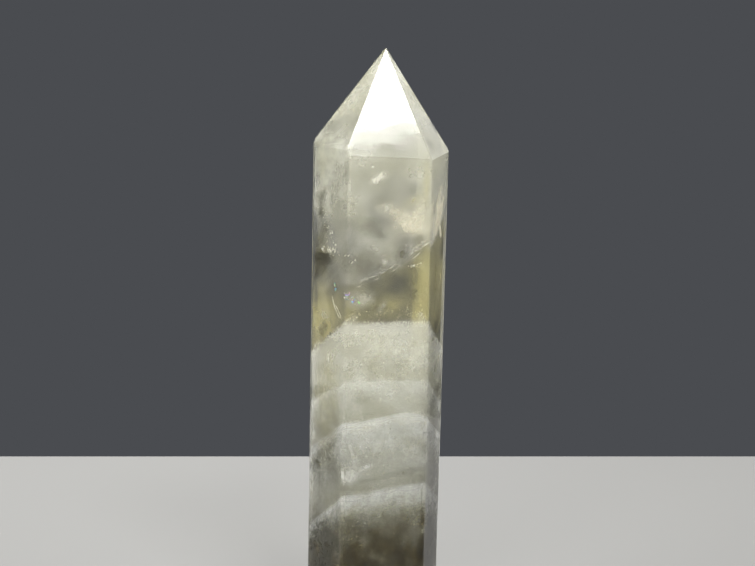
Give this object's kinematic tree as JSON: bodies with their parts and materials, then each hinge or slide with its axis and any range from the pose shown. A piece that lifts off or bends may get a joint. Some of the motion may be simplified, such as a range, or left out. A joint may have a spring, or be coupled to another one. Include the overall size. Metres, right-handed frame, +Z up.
{
  "type": "crystal point",
  "caption": "Six-sided polished quartz tower in pale citrine with milky phantom layers, pointed at the top and standing on its flat cut base.",
  "frame": {"origin": "on the flat base, on the crystal's own axis", "axes": "+Z up, roughly along the crystal towards its point; -Y is the side that the broad front face looks to"},
  "size_m": [0.0303, 0.0222, 0.1298],
  "materials": {
    "citrine": "polished, clear, pale smoky lemon",
    "milky_quartz": "soft white phantom layers and veils enclosed in the clear stone"
  },
  "bodies": {
    "root": {"crystal_point": "citrine"}
  },
  "joints": []
}
